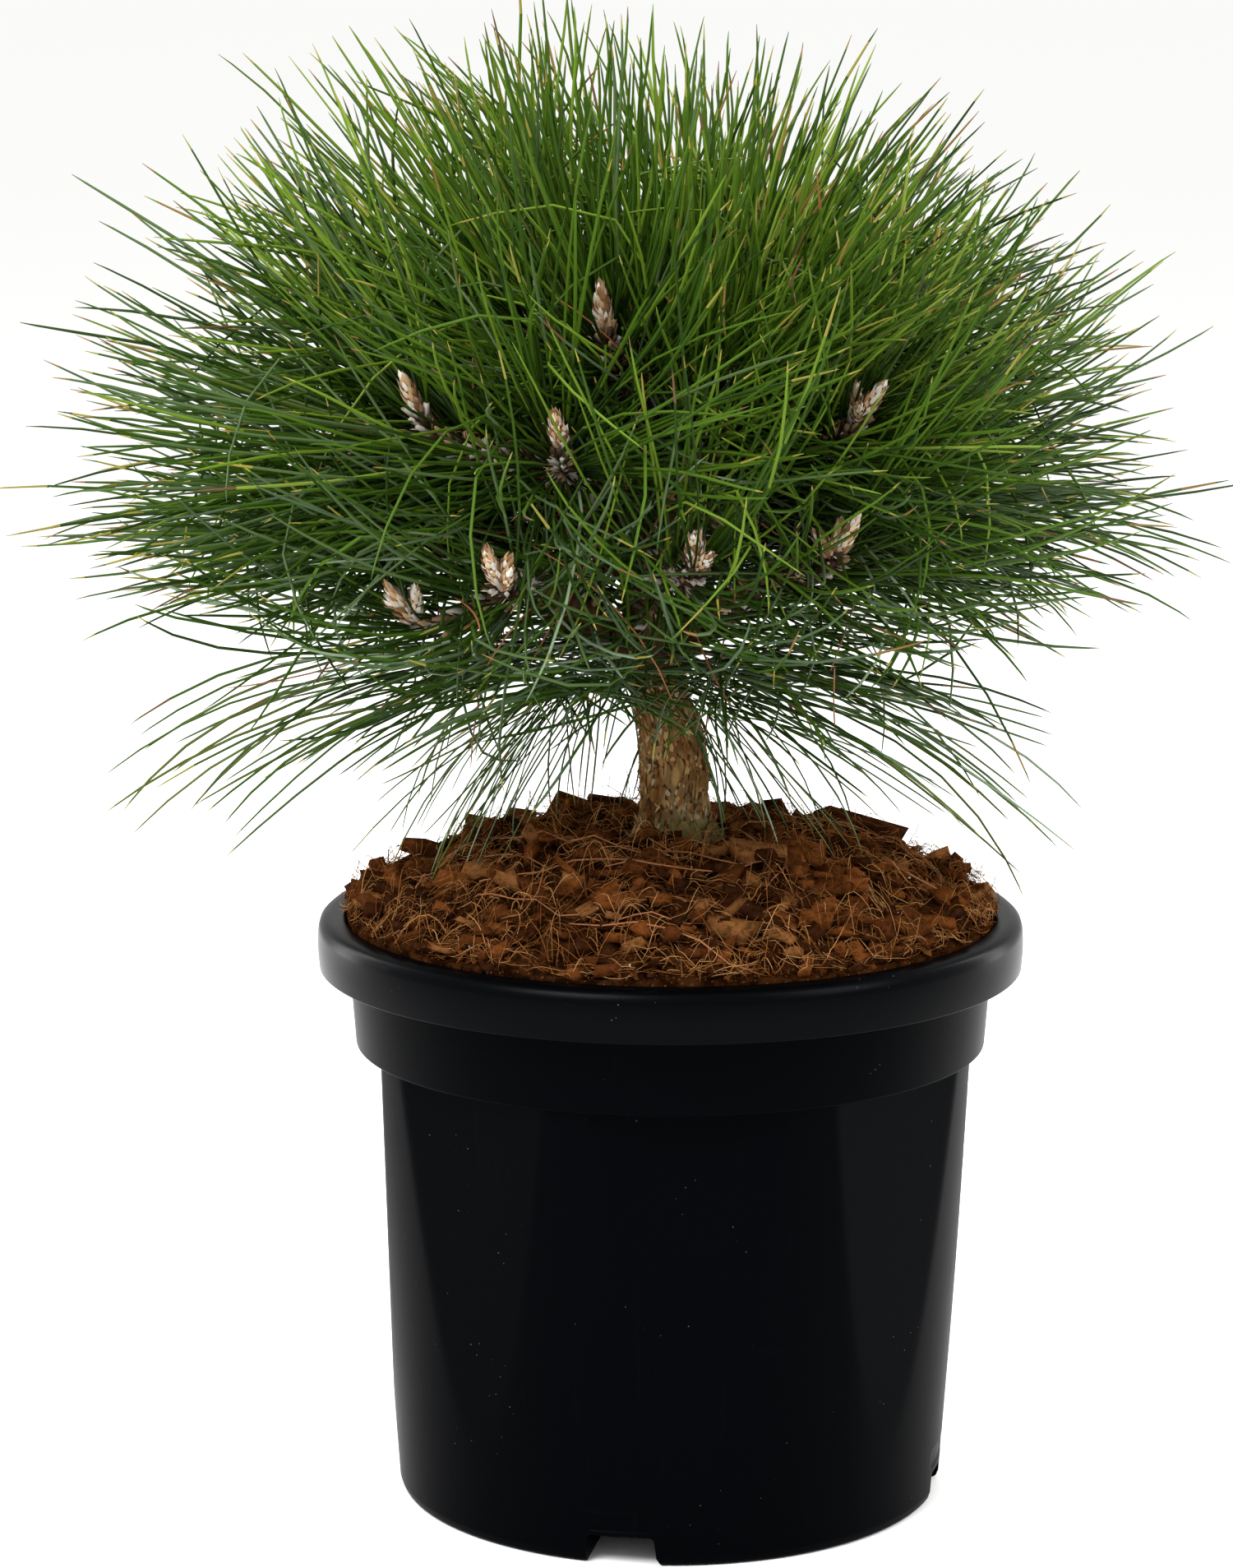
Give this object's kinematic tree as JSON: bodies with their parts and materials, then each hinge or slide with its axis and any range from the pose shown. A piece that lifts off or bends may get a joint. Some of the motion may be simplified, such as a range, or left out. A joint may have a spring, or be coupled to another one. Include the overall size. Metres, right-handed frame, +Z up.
{
  "type": "potted dwarf austrian pine",
  "caption": "Dwarf black pine with a low dome of long needles on a short leaning trunk, in a round black plant pot topped with coir and bark mulch.",
  "frame": {"origin": "centre of the pot's flat underside, on the surface that it stands on", "axes": "+Z up along the pot's axis, -Y towards the front that the picture shows, +X to the right in the picture"},
  "size_m": [0.445, 0.4336, 0.5488],
  "materials": {
    "black_plastic": "satin",
    "growing_medium": "matte",
    "mulch": "matte",
    "bark": "matte",
    "needles": "satin"
  },
  "bodies": {
    "root": {"pot": "black_plastic", "growing_medium": "growing_medium", "mulch": "mulch", "trunk": "bark", "bough_low_front": "bark", "bough_low_front_right": "bark", "bough_low_right": "bark", "bough_low_back_right": "bark", "bough_low_back": "bark", "bough_low_back_left": "bark", "bough_low_left": "bark", "bough_low_front_left": "bark", "bough_mid_front": "bark", "bough_mid_right_front": "bark", "bough_mid_right_back": "bark", "bough_mid_back": "bark", "bough_mid_left_back": "bark", "bough_mid_left_front": "bark", "bough_top_front": "bark", "bough_top_right": "bark", "bough_top_left": "bark", "foliage_low_front": "needles", "foliage_low_front_right": "needles", "foliage_low_right": "needles", "foliage_low_back_right": "needles", "foliage_low_back": "needles", "foliage_low_back_left": "needles", "foliage_low_left": "needles", "foliage_low_front_left": "needles", "foliage_mid_front": "needles", "foliage_mid_right_front": "needles", "foliage_mid_right_back": "needles", "foliage_mid_back": "needles", "foliage_mid_left_back": "needles", "foliage_mid_left_front": "needles", "foliage_top_front": "needles", "foliage_top_right": "needles", "foliage_top_left": "needles", "foliage_skirt_left": "needles", "foliage_skirt_right": "needles", "foliage_skirt_back_left": "needles", "foliage_skirt_back_right": "needles", "foliage_fringe_left": "needles", "foliage_fringe_right": "needles"}
  },
  "joints": []
}
